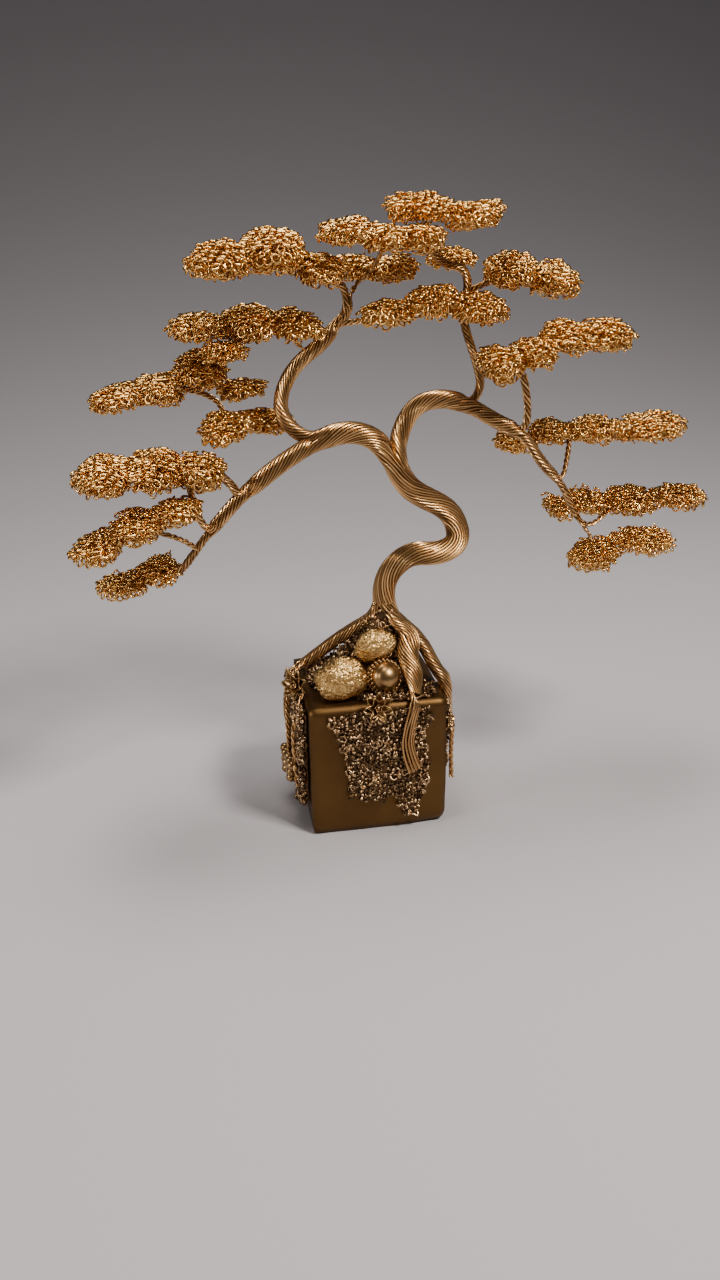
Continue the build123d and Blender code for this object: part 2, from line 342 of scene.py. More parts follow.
MOSS_DARK = Finish("moss_dark", "moss", (0.19, 0.105, 0.045), (0.035, 0.019, 0.009),
                   metallic=0.85, roughness=0.26, rough_dark=0.5, spots_per_metre=400.0)
MOSS_GOLD = Finish("moss_gold", "moss", (0.86, 0.60, 0.33), (0.36, 0.21, 0.10),
                   roughness=0.18, rough_dark=0.38, spots_per_metre=500.0)


# --- wire bundles ---------------------------------------------------------------------------
class Lay(Enum):
    """How a bundle's wires lie together."""

    ROPE = "twisted into a round rope"
    BAND = "side by side in a flat band"


@dataclass
class Bundle:
    """A stretch of bundled wire between two places where the bundle divides.

    Attributes:
        name: The CAD node that it stands for.
        route: Corners of its route, in millimetres from the centre of the block's top face.
        wires: How many wires it holds, or 0 to hold its children's.
        parent: The bundle that it grows from the end of, or an empty name.
        lay: Whether it is a rope or a band.
        layers: How many wires deep a band is.
        spread: How much wider a band gets by its end.
        flat: How much a rope is pressed flat against what it lies on.
        taper: How much narrower a rope gets over its last stretch.
        twist: How far a rope's wires turn, in radians per millimetre.
        carried: The twist of the bundle that its wires come from.
    """

    name: str
    route: list[tuple[float, float, float]]
    wires: int = 0
    parent: str = ""
    lay: Lay = Lay.ROPE
    layers: int = 3
    spread: float = 0.0
    flat: float = 0.0
    taper: float = 0.0
    twist: float = 0.0
    carried: float = 0.0
    children: list["Bundle"] = field(default_factory=list)
    line: list[Vector] = field(default_factory=list)
    feet: dict[int, Vector] = field(default_factory=dict)
    ends: dict[int, Vector] = field(default_factory=dict)
    starts: dict[int, Vector] = field(default_factory=dict)


TRUNK_FOOT = (8.6, -0.4, 36)
BUNDLES = [
    Bundle("trunk", [TRUNK_FOOT, (8, -1, 45), (17, -8, 59), (32, -8, 57), (42, -2, 61),
                     (39, 4, 73), (22, 2, 82), (16, 0, 90), (14, 0, 96)]),
    Bundle("left_limb", [(14, 0, 96), (6, -1, 107), (-6, -2, 111), (-20, -3, 107)],
           parent="trunk"),
    Bundle("left_limb_middle", [(-20, -3, 107), (-36, -8, 99), (-52, -12, 88)],
           parent="left_limb"),
    Bundle("left_limb_end", [(-52, -12, 88), (-59, -14, 81), (-65, -14, 75)],
           parent="left_limb_middle"),
    Bundle("left_limb_tip", [(-65, -14, 75), (-70, -14, 69), (-74, -12, 63)],
           parent="left_limb_end"),
    Bundle("left_branch", [(-20, -3, 107), (-30, 0, 113), (-33, 3, 123), (-26, 6, 136),
                           (-14, 7, 144), (-7, 8, 152)], parent="left_limb"),
    Bundle("left_branch_tip", [(-7, 8, 152), (-3, 8, 156), (-3, 7, 161)],
           parent="left_branch"),
    Bundle("right_limb", [(14, 0, 96), (17, 5, 108), (24, 5, 119), (36, 4, 121), (47, 4, 117)],
           parent="trunk"),
    Bundle("right_limb_outer", [(47, 4, 117), (58, 2, 110), (69, -2, 105)],
           parent="right_limb"),
    Bundle("right_limb_end", [(69, -2, 105), (76, -4, 93), (85, -5, 84)],
           parent="right_limb_outer"),
    Bundle("right_limb_tip", [(85, -5, 84), (90, -4, 74), (96, -3, 64)],
           parent="right_limb_end"),
    Bundle("right_branch", [(47, 4, 117), (53, 7, 124), (50, 9, 136), (46, 13, 149)],
           parent="right_limb"),
    Bundle("right_branch_tip", [(46, 13, 149), (48, 19, 155), (50, 21, 163)],
           parent="right_branch"),
    Bundle("twig_left_crown", [(-3, 7, 161), (-6, 3, 168), (-12, 1, 171)], 10,
           "left_branch_tip"),
    Bundle("twig_top_left", [(-3, 7, 161), (3, 14, 168), (9, 4, 174), (10, -5, 182)], 5,
           "left_branch_tip"),
    Bundle("twig_centre", [(-7, 8, 152), (1, 6, 152), (8, 4, 154)], 8, "left_branch"),
    Bundle("twig_left_high", [(-20, 6, 140), (-24, 6, 147), (-34, 6, 151)], 5),
    Bundle("twig_left_middle", [(-57, -8, 114), (-54, 6, 120), (-60, 12, 126),
                                (-70, 14, 128)], 7),
    Bundle("twig_left_inner", [(-52, -12, 88), (-54, -14, 94), (-60, -16, 100)], 12,
           "left_limb_middle"),
    Bundle("twig_left_outer", [(-65, -14, 75), (-70, -17, 86), (-71, -18, 96)], 9,
           "left_limb_end"),
    Bundle("twig_left_low", [(-70, -14, 69), (-77, -20, 77), (-88, -26, 81)], 6),
    Bundle("twig_left_drop", [(-74, -12, 63), (-78, -9, 58), (-84, -4, 57)], 11,
           "left_limb_tip"),
    Bundle("twig_crown", [(50, 21, 163), (49, 22, 170), (40, 20, 172), (33, 16, 177),
                          (29, 9, 188)], 12, "right_branch_tip"),
    Bundle("twig_small", [(50, 21, 166), (47, 28, 173)], 4),
    Bundle("twig_right_high", [(50, 21, 161), (58, 18, 165), (64, 16, 167)], 8),
    Bundle("twig_right_broad", [(69, -2, 105), (70, -4, 117), (66, -7, 130)], 10,
           "right_limb_outer"),
    Bundle("twig_right_middle", [(85, -5, 84), (90, 3, 92), (94, 12, 101)], 6,
           "right_limb_end"),
    Bundle("twig_right_low", [(96, -3, 64), (105, 2, 63), (113, 8, 68)], 6,
           "right_limb_tip"),
    Bundle("twig_right_drop", [(96, -3, 64), (99, -7, 60), (100, -9, 55)], 4,
           "right_limb_tip"),
]
ROOTS = [
    Bundle("root_front", [TRUNK_FOOT, (10.5, -2, 29), (19, -8, 22), (15, -15, 15),
                          (17, -23, 8.5), (16, -28, 2.6)], 36, flat=0.35, taper=0.45),
    Bundle("root_right", [TRUNK_FOOT, (12, -1, 29), (24, -4, 18), (29, -12, 6), (33, -15, 2),
                          (33, -13, -12), (33, -15, -24)], 26, flat=0.2),
    Bundle("root_left", [TRUNK_FOOT, (5, 0, 29), (-5, 4, 22), (-15, 10, 13), (-26, 14, 3)], 26,
           flat=0.2),
    Bundle("root_back", [TRUNK_FOOT, (9, 3, 29), (13, 14, 20), (14, 24, 6), (15, 33, 1),
                         (13, 33, -14)], 17, flat=0.2),
]
FACE_ROOT = Bundle("root_front_face", [(16, -28, 2.6), (15.5, -32, 1), (12, -32, -11),
                                       (11, -32, -21), (15, -32, -31)], 9,
                   lay=Lay.BAND, layers=2, spread=0.5)
FACE_STRANDS = [
    Bundle("strand_left_long", [(-25, 12, 5), (-31, 8, 4), (-36, 2, -8), (-36.5, -6, -20),
                                (-36, -2, -34), (-35, -8, -44)], 7),
    Bundle("strand_left_short", [(-24, 15, 4), (-31, 16, 3), (-36, 12, -10), (-35, 18, -24)], 6),
    Bundle("strand_left_front", [(-29, -12, 1), (-34, -16, -4), (-36, -22, -14),
                                 (-35.5, -16, -27), (-35, -21, -40)], 5),
    Bundle("strand_right_long", [(32, -18, -6), (34.5, -22, -14), (34, -19, -28),
                                 (33.5, -23, -42)], 6),
]


@dataclass
class WireTree:
    """The tree's wire: every wire runs on from bundle to bundle.

    Attributes:
        wire: Wire diameter in millimetres.
        share: How much of a rope's round section is metal.
        step: Distance between the points of a wire.
        blend: Length over which wires move to their places in a new bundle, in radii.
        pitch: Distance between neighbouring wires' middles, in wire diameters.
        shown_layers: Layers counted from a rope's skin that are modelled.
        unevenness: How far wires wander, in wire diameters.
        drawn: Radius that a wire is drawn with, in wire diameters.
        thin: Bundles of fewer wires than this are modelled whole.
        taper_length: Length of the stretch that a tapered rope narrows over.
        trunk_wires: About how many wires the thickest bundle holds.
        lay: A thin rope's lay angle and how much less the trunk's is, in degrees.
        seed: Seed of the wires' wandering.
    """

    wire: float = 1.0
    share: float = 0.8
    step: float = 1.3
    blend: float = 3.5
    pitch: float = 1.18
    shown_layers: int = 2
    unevenness: float = 0.10
    drawn: float = 0.46
    thin: int = 60
    taper_length: float = 12.0
    trunk_wires: float = 105.0
    lay: tuple[float, float] = (46.0, 28.0)
    seed: int = 7
    block_side: float = 60.0

    def __post_init__(self) -> None:
        """Ties each bundle to its parent and counts its wires."""
        self.dice = random.Random(self.seed)
        self.by_name = {bundle.name: bundle for bundle in BUNDLES}
        for bundle in BUNDLES:
            if bundle.parent:
                self.by_name[bundle.parent].children.append(bundle)
        self.count(self.by_name["trunk"])

    def count(self, bundle: Bundle) -> int:
        """Counts a bundle's wires from those of its children."""
        if bundle.children:
            bundle.wires = sum(self.count(child) for child in bundle.children)
        return bundle.wires

    def radius(self, wires: int) -> float:
        """Outer radius of a rope in millimetres: limbs lie looser than the trunk or a twig."""
        loose = 0.92 + 0.22 * smoothstep((100 - wires) / 60) * smoothstep((wires - 6) / 20)
        return self.wire / 2 * math.sqrt(wires / self.share) * loose

    def centre_line(self, bundle: Bundle) -> list[Vector]:
        """Points along a bundle's smooth centre line.

        A bundle that grows from another's end starts halfway along its parent's last run, where
        its parent stops, so that the two run on in one curve.

        Args:
            bundle: The bundle.

        Returns:
            Evenly spaced points in millimetres.
        """
        corners = [Vector(corner) for corner in bundle.route]
        if bundle.parent and bundle.lay is Lay.ROPE:
            before = Vector(self.by_name[bundle.parent].route[-2])
            corners.insert(0, (before + corners[0]) / 2)
        knots = [corners[0]]
        knots += [(a + b) / 2 for a, b in zip(corners[1:-1], corners[2:-1])]
        knots.append(corners[-1])
        if bundle.children:
            knots[-1] = (corners[-2] + corners[-1]) / 2
        fine = []
        if len(corners) == 2:
            fine = [corners[0].lerp(corners[1], i / 20) for i in range(21)]
        for start, corner, end in zip(knots, corners[1:-1], knots[1:]):
            fine += [start.lerp(corner, i / 24).lerp(corner.lerp(end, i / 24), i / 24)
                     for i in range(24)]
        fine.append(knots[-1])
        return self.even(fine)

    def even(self, points: list[Vector]) -> list[Vector]:
        """The same line with evenly spaced points, about a step apart."""
        lengths = [0.0]
        for a, b in zip(points, points[1:]):
            lengths.append(lengths[-1] + (b - a).length)
        count = max(int(lengths[-1] / self.step), 4)
        line, place = [], 0
        for i in range(count + 1):
            target = lengths[-1] * i / count
            while place < len(points) - 2 and lengths[place + 1] < target:
                place += 1
            run = max(lengths[place + 1] - lengths[place], 1e-9)
            line.append(points[place].lerp(points[place + 1], (target - lengths[place]) / run))
        return line

    def frames(self, line: list[Vector], band: bool) -> list[tuple[Vector, Vector]]:
        """Two cross directions at each point of a line.

        A band's second direction leads out of the heap and the block, and a rope's directions
        are carried along without turning.

        Args:
            line: The centre line.
            band: Whether the bundle is a band.

        Returns:
            A pair of directions for each point.
        """
        pairs = []
        side = Vector((1, 0, 0))
        for i, point in enumerate(line):
            ahead = line[min(i + 1, len(line) - 1)] - line[max(i - 1, 0)]
            ahead.normalize()
            if band:
                outward = point - Vector((2, 0, -14))
                outward = (outward - ahead * outward.dot(ahead)).normalized()
                pairs.append((outward.cross(ahead).normalized(), outward))
                continue
            side = (side - ahead * side.dot(ahead)).normalized()
            pairs.append((side.copy(), ahead.cross(side)))
        return pairs

    def rope_slots(self, wires: int, starts: list[tuple[float, float]]) -> list[tuple]:
        """Gives each wire a ring and an angle in a rope, near to where it starts.

        Args:
            wires: How many wires the rope holds.
            starts: Where each wire crosses the start of the rope.

        Returns:
            (layer, radius, angle) for each wire.
        """
        middle_x = sum(x for x, _ in starts) / wires
        middle_y = sum(y for _, y in starts) / wires
        polar = [(math.hypot(x - middle_x, y - middle_y), math.atan2(y - middle_y, x - middle_x))
                 for x, y in starts]
        waiting = sorted(range(wires), key=lambda k: -polar[k][0])
        slots: list[tuple] = [()] * wires
        reach, layer = self.radius(wires) - self.wire / 2, 0
        while waiting:
            room = 1
            if reach > self.wire * 0.45:
                room = int(math.pi / math.asin(min(1.0, self.pitch * self.wire / 2 / reach)) + 0.01)
            ring = sorted(waiting[:room], key=lambda k: polar[k][1])
            waiting = waiting[room:]
            pitch = 2 * math.pi / len(ring)
            east = sum(math.cos(polar[k][1] - pitch * j) for j, k in enumerate(ring))
            north = sum(math.sin(polar[k][1] - pitch * j) for j, k in enumerate(ring))
            first = math.atan2(north, east)
            for j, k in enumerate(ring):
                slots[k] = (layer, max(reach, 0.0), first + pitch * j)
            reach -= 0.9 * self.wire
            layer += 1
        return slots

    def band_slots(self, bundle: Bundle, starts: list[tuple[float, float]]) -> list[tuple]:
        """Gives each wire a column and a layer in a band, near to where it starts.

        Args:
            bundle: The band.
            starts: Where each wire crosses the start of the band.

        Returns:
            (layer, across, out) for each wire, in millimetres.
        """
        order = sorted(range(bundle.wires), key=lambda k: starts[k][0])
        columns = math.ceil(bundle.wires / bundle.layers)
        slots: list[tuple] = [()] * bundle.wires
        for column in range(columns):
            group = order[column * bundle.layers:(column + 1) * bundle.layers]
            group.sort(key=lambda k: -starts[k][1])
            for layer, k in enumerate(group):
                across = (column - (columns - 1) / 2 + 0.5 * (layer % 2)) * self.wire
                bulge = math.cos((column + 0.5 - columns / 2) / columns * math.pi)
                out = (bundle.layers / 2 - layer) * 0.85 * self.wire + bulge * self.wire
                slots[k] = (layer, across, out)
        return slots

    def lay_wires(self, bundle: Bundle, starts: dict[int, Vector]) -> list[list[Vector]]:
        """Follows each wire of a bundle along it.

        Args:
            bundle: The bundle.
            starts: Offset of each wire from the centre line where the bundle starts.

        Returns:
            The points of each modelled wire, in millimetres.
        """
        line = bundle.line
        band = bundle.lay is Lay.BAND
        pairs = self.frames(line, band or bundle.flat > 0)
        wires = sorted(starts)
        flat = [(starts[w].dot(pairs[0][0]), starts[w].dot(pairs[0][1])) for w in wires]
        slots = self.band_slots(bundle, flat) if band else self.rope_slots(len(wires), flat)
        radius = self.radius(len(wires))
        most, less = self.lay
        lay_angle = math.radians(most - less * math.sqrt(len(wires) / self.trunk_wires))
        twist = bundle.twist = -math.tan(lay_angle) / radius
        blend = max(self.blend * radius, 5.0)
        spacing = (line[1] - line[0]).length
        length = spacing * (len(line) - 1)
        shape_turn = self.dice.uniform(0, FULL_TURN)
        paths = []
        for w, start, slot in zip(wires, flat, slots):
            wander = [(self.dice.uniform(0, FULL_TURN), self.dice.uniform(12, 40),
                       self.dice.uniform(0.3, 1.0)) for _ in range(3)]
            path = []
            for i, point in enumerate(line):
                along = i * spacing
                sway = sum(math.sin(turn + along * 6.28 / wave) * size
                           for turn, wave, size in wander) * self.unevenness * self.wire
                if band:
                    widen = 1 + bundle.spread * along / length
                    target = (slot[1] * widen + sway, slot[2] + 0.6 * sway)
                else:
                    angle = slot[2] + twist * along + 0.5 * sway / radius
                    reach = slot[1] * (1 + 0.05 * math.cos(3 * angle + shape_turn)) + 0.5 * sway
                    reach *= 1 - bundle.taper * smoothstep(
                        1 - (length - along) / self.taper_length)
                    target = (reach * math.cos(angle) * (1 + bundle.flat),
                              reach * math.sin(angle) * (1 - 0.6 * bundle.flat))
                mix = smoothstep(along / blend) if bundle.starts else 1.0
                turn = bundle.carried * min(along, blend)
                from_x = start[0] * math.cos(turn) - start[1] * math.sin(turn)
                from_y = start[0] * math.sin(turn) + start[1] * math.cos(turn)
                x = from_x + (target[0] - from_x) * mix
                y = from_y + (target[1] - from_y) * mix
                path.append(point + pairs[i][0] * x + pairs[i][1] * y)
            bundle.ends[w] = path[-1] - line[-1]
            bundle.feet[w] = path[0] - line[0]
            if slot[0] < self.shown_layers or len(wires) < self.thin:
                paths.append(path)
        return paths

    def share_out(self, bundle: Bundle) -> None:
        """Deals a bundle's wires to its children, each child those on its own side."""
        left = dict(bundle.ends)
        for number, child in enumerate(bundle.children):
            if number == len(bundle.children) - 1:
                child.starts = left
                return
            ahead = child.line[min(9, len(child.line) - 1)] - child.line[0]
            others = [c.line[min(9, len(c.line) - 1)] - c.line[0]
                      for c in bundle.children[number + 1:]]
            away = ahead - sum(others, Vector()) / len(others)
            order = sorted(left, key=lambda w: -left[w].dot(away))
            child.starts = {w: left.pop(w) for w in order[:child.wires]}

    def model(self, bundle: Bundle, starts: dict[int, Vector]) -> None:
        """Models one bundle and those that grow from it.

        Args:
            bundle: The bundle.
            starts: Offset of each wire from the centre line where it starts.
        """
        paths = self.lay_wires(bundle, starts)
        self.draw(bundle.name, paths)
        if not bundle.children:
            return
        for child in bundle.children:
            child.line = self.centre_line(child)
            child.carried = bundle.twist
        self.share_out(bundle)
        for child in bundle.children:
            self.model(child, child.starts)

    def draw(self, name: str, paths: list[list[Vector]], stands_in: bool = True) -> None:
        """Draws wires as round tubes and dresses them as one piece.

        Args:
            name: The bundle's name, which is its CAD node's if it has one.
            paths: The wires' points, in millimetres from the block's top.
            stands_in: Whether the bundle has a CAD node.
        """
        deselect()
        bpy.ops.curve.primitive_nurbs_path_add()
        rope = bpy.context.object
        rope.data.splines.clear()
        rope.data.dimensions = "3D"
        for path in paths:
            wire = rope.data.splines.new("POLY")
            wire.points.add(len(path) - 1)
            for corner, point in zip(wire.points, path):
                corner.co = (point.x * MM, point.y * MM, (point.z + self.block_side) * MM, 1.0)
        rope.data.bevel_depth = self.wire * self.drawn * MM
        rope.data.bevel_resolution = 1
        rope.data.use_fill_caps = True
        activate(rope)
        bpy.ops.object.convert(target="MESH")
        rope = bpy.context.object
        around = len(rope.data.vertices) // sum(len(path) for path in paths)
        give_tone_and_painted_light(rope, [len(path) * around for path in paths], self.dice)
        finish_piece(rope, f"{name}_wires", BUNDLE_GOLD, [name] if stands_in else [])

    def loose_starts(self, wires: int) -> dict[int, Vector]:
        """Places for wires that start inside another bundle or in a pad."""
        spread = self.radius(wires) * 0.6
        return {w: Vector((self.dice.uniform(-spread, spread), self.dice.uniform(-spread, spread),
                           self.dice.uniform(-spread, spread))) for w in range(wires)}

    def build(self) -> None:
        """Models the trunk with all that grows from it, the loose twigs and the roots."""
        trunk = self.by_name["trunk"]
        trunk.line = self.centre_line(trunk)
        self.model(trunk, self.loose_starts(trunk.wires))
        for bundle in BUNDLES:
            if not bundle.parent and bundle is not trunk:
                bundle.line = self.centre_line(bundle)
                self.draw(bundle.name, self.lay_wires(bundle, self.loose_starts(bundle.wires)))
        foot = dict(trunk.feet)
        for number, root in enumerate(ROOTS):
            root.line = self.centre_line(root)
            way = root.line[min(14, len(root.line) - 1)] - root.line[0]
            order = sorted(foot, key=lambda w: -foot[w].dot(way))
            take = order if number == len(ROOTS) - 1 else order[:root.wires]
            root.starts = {w: foot.pop(w) for w in take}
            root.wires = len(root.starts)
            root.carried = trunk.twist
            self.draw(root.name, self.lay_wires(root, root.starts))
        front = ROOTS[0].ends
        take = sorted(front, key=lambda w: front[w].x)[:FACE_ROOT.wires]
        FACE_ROOT.line = self.centre_line(FACE_ROOT)
        FACE_ROOT.starts = {w: front[w] for w in take}
        FACE_ROOT.carried = ROOTS[0].twist
        self.draw(FACE_ROOT.name, self.lay_wires(FACE_ROOT, FACE_ROOT.starts))
        for strand in FACE_STRANDS:
            strand.line = self.centre_line(strand)
            self.draw(strand.name, self.lay_wires(strand, self.loose_starts(strand.wires)), False)


# --- foliage --------------------------------------------------------------------------------
@dataclass
class Foliage:
    """Pads of small wire loops, each on a short stem, shingled over a cloud-shaped pad.

    Attributes:
        loop: Outer width of a loop.
        wire: Diameter of a loop's wire.
        narrow: Width of a loop across, as a share of its length.
        apart: Least distance between the middles of two loops on a pad's outside.
        apart_within: The same for the loops that lie deeper in the pad.
        depth: How deep those lie.
        lift: How far a loop may stand out from the pad or lie under its skin.
        swell: How much wider and deeper the pad is than its CAD lobes, so that they merge.
        crown: Height of a pad above its middle, as a share of its lobes' height.
        belly: Depth of a pad below its middle, as a share of its lobes' depth.
        stem: Length of a loop's stem.
        tufts: (waves per metre, height) of each of the pad's two unevennesses.
        grain: Size of the cells that the pad's shape is merged in.
        painted_light_outer: How much lighter the outer loops' tones are, as painted light on the
            outside of a pad; the deeper loops are darkened as painted shade.
        seed: Seed of the loops' places.
    """

    loop: float = 4.7
    wire: float = 0.92
    narrow: float = 0.8
    apart: float = 2.1
    apart_within: float = 2.7
    depth: float = 2.6
    lift: float = 1.0
    swell: tuple[float, float] = (1.16, 1.12)
    crown: float = 0.88
    belly: float = 0.62
    stem: float = 2.6
    tufts: tuple[tuple[float, float], ...] = ((130, 1.6), (50, 1.8))
    grain: float = 1.1
    # Painted light on the outer loops; the deeper loops get painted shade.
    painted_light_outer: float = 0.35
    seed: int = 11

    def pattern(self) -> bpy.types.Object:
        """One loop with its stem, lying flat about the origin."""
        loop = primitive("torus", major_segments=12, minor_segments=4,
                         major_radius=(self.loop - self.wire) / 2 * MM,
                         minor_radius=self.wire / 2 * MM)
        stem = primitive("cone", vertices=4, radius1=self.wire * 0.55 * MM,
                         radius2=self.wire * 0.5 * MM, depth=self.stem * MM,
                         location=(-self.loop / 2 * MM - 0.5 * MM, 0, -0.9 * MM),
                         rotation=(0, math.radians(45), 0))
        petal = join([loop, stem])
        with edit_mode(petal):
            bpy.ops.transform.resize(value=(1.0, self.narrow, 1.0))
        return petal

    def form(self, node: str) -> bpy.types.Object:
        """The cloud shape of a pad, to be removed after its loops are placed.

        Args:
            node: The pad's CAD node.

        Returns:
            One closed object about the pad's lobes.
        """
        activate(frame["nodes"][node])
        bpy.ops.object.duplicate()
        with edit_mode(bpy.context.object):
            bpy.ops.mesh.remove_doubles(threshold=0.001 * MM)
            bpy.ops.mesh.separate(type="LOOSE")
        skins = []
        for shell in list(bpy.context.selected_objects):
            middle = sum((v.co for v in shell.data.vertices), Vector()) / len(shell.data.vertices)
            face = shell.data.polygons[0]
            if face.normal.dot(face.center - middle) < 0:
                bpy.data.objects.remove(shell)
                continue
            for vertex in shell.data.vertices:
                out = vertex.co - middle
                tall = self.crown if out.z > 0 else self.belly
                vertex.co = middle + Vector((out.x * self.swell[0], out.y * self.swell[1],
                                             out.z * tall))
            skins.append(shell)
        cloud = join(skins)
        remesh = cloud.modifiers.new("merge", "REMESH")
        remesh.mode = "VOXEL"
        remesh.voxel_size = self.grain * MM
        soften = cloud.modifiers.new("soften", "SMOOTH")
        soften.factor = 0.6
        soften.iterations = 6
        apply_modifiers(cloud)
        for vertex in cloud.data.vertices:
            vertex.co += sum((noise.noise_vector(vertex.co * waves) * height
                              for waves, height in self.tufts), Vector()) * MM
        return cloud

    def places(self, cloud: bpy.types.Object, dice: random.Random, apart: float,
               depth: float) -> list[Matrix]:
        """Where the loops of one layer of a pad go.

        Args:
            cloud: The pad's shape.
            dice: The pad's own random numbers.
            apart: Least distance between two loops' middles, in millimetres.
            depth: How deep under the shape's skin they lie, in millimetres.

        Returns:
            A place for each loop.
        """
        cell = apart * MM
        taken: dict[tuple[int, int, int], list[Vector]] = {}
        result = []
        faces = list(cloud.data.polygons)
        weights = [face.area for face in faces]
        tries = int(sum(weights) / (cell * cell) * 6)
        for face in dice.choices(faces, weights, k=tries):
            spot = spot_on(cloud, face, dice) - face.normal * depth * MM
            key = tuple(int(math.floor(value / cell)) for value in spot)
            near = [other for dx in (-1, 0, 1) for dy in (-1, 0, 1) for dz in (-1, 0, 1)
                    for other in taken.get((key[0] + dx, key[1] + dy, key[2] + dz), [])]
            if any((other - spot).length < cell for other in near):
                continue
            taken.setdefault(key, []).append(spot)
            result.append(self.seat(spot, face.normal, dice))
        return result

    def seat(self, spot: Vector, normal: Vector, dice: random.Random) -> Matrix:
        """How one loop sits: nearly level on top, and hanging outwards at the lower edge."""
        drift = noise.noise_vector(spot * 70) * 0.4
        jitter = Vector([dice.gauss(0, 0.16) for _ in range(3)])
        level = Vector((0, 0, 1.0))
        if normal.z < 0:
            level = Vector((normal.x, normal.y, 0.0)) * min(-normal.z * 1.6, 1) + level * 0.6
        facing = (normal * 0.42 + level + drift + jitter).normalized()
        outward = normal - facing * normal.dot(facing)
        turn = turned_to(facing)
        if outward.length > 0.1:
            local = turn.inverted() @ outward
            around = math.atan2(local.y, local.x) + dice.gauss(0, 0.4)
            turn = turn @ Matrix.Rotation(around, 4, "Z")
        lift = dice.uniform(-self.lift, self.lift) * MM
        size = dice.uniform(0.88, 1.1)
        oval = Matrix.Diagonal((size, size * dice.uniform(0.85, 1.1), size, 1.0))
        return Matrix.Translation(spot + normal * lift) @ turn @ oval

    def build(self) -> None:
        """Models every pad."""
        for number, node in enumerate(sorted(n for n in frame["nodes"] if n.startswith("pad_"))):
            dice = random.Random(self.seed + number)
            cloud = self.form(node)
            outer = self.places(cloud, dice, self.apart, 0.0)
            places = outer + self.places(cloud, dice, self.apart_within, self.depth)
            bpy.data.objects.remove(cloud)
            loops = copies(self.pattern(), places, f"{node}_loops")
            each = len(loops.data.vertices) // len(places)
            # Painted light on the outer loops and painted shade on the deeper ones, carried in
            # their tones.
            give_tone_and_painted_light(loops, [each] * len(places), dice, [self.painted_light_outer] * len(outer))
            finish_piece(loops, f"{node}_loops", RING_GOLD, [node])
            LOG.info("%s holds %d loops", node, len(places))


